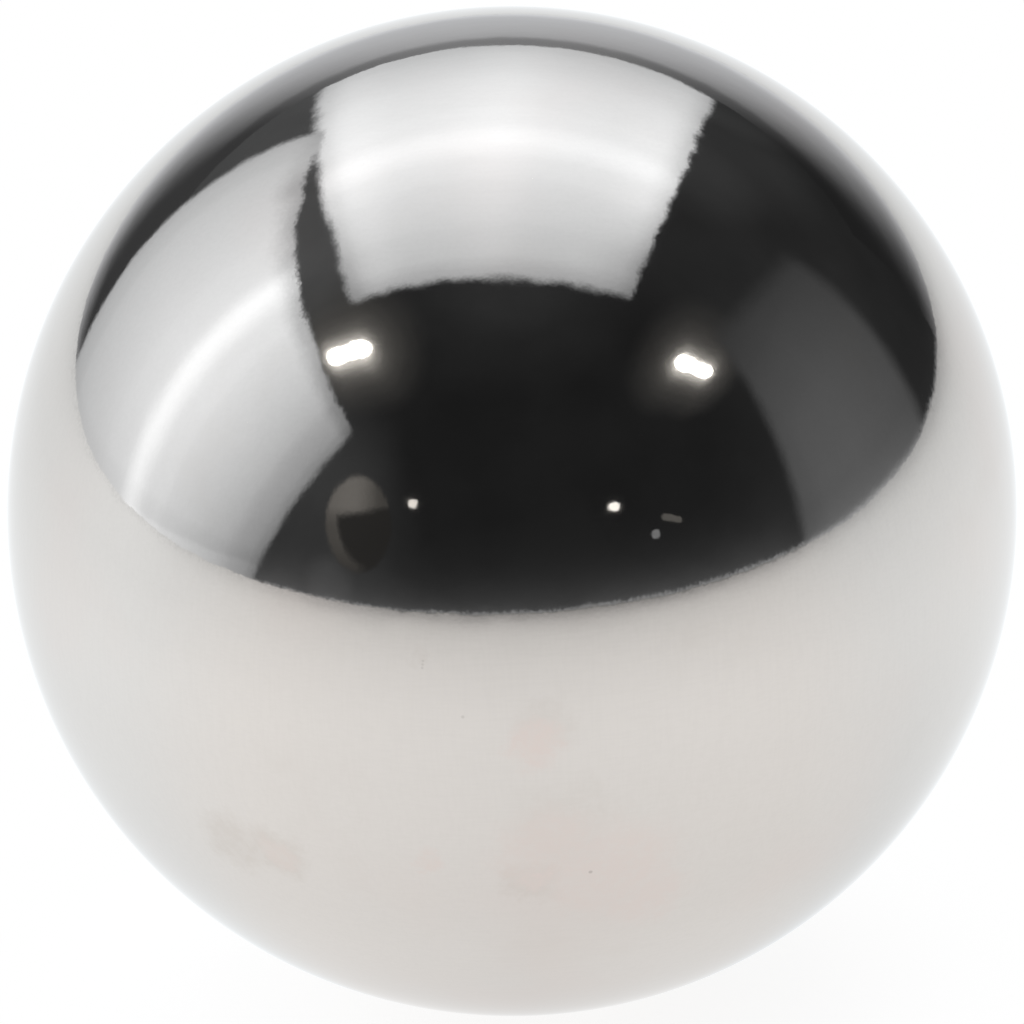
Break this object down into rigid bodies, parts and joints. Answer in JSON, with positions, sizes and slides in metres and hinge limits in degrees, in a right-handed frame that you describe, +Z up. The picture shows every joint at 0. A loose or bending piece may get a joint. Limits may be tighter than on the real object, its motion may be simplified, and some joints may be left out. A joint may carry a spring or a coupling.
{
  "type": "steel ball",
  "caption": "Solid steel ball, a true sphere with a mirror-polished surface, for rolling in a race, seat or socket.",
  "frame": {"origin": "the centre of the ball", "axes": "+Z up, through the point that the ball rests on; a ball looks the same about every axis"},
  "size_m": [0.0254, 0.0254, 0.0254],
  "materials": {
    "polished_steel": "lapped and polished hardened steel, mirror bright, with very fine lapping marks and faint handling smudges"
  },
  "bodies": {
    "root": {"ball": "polished_steel"}
  },
  "joints": []
}
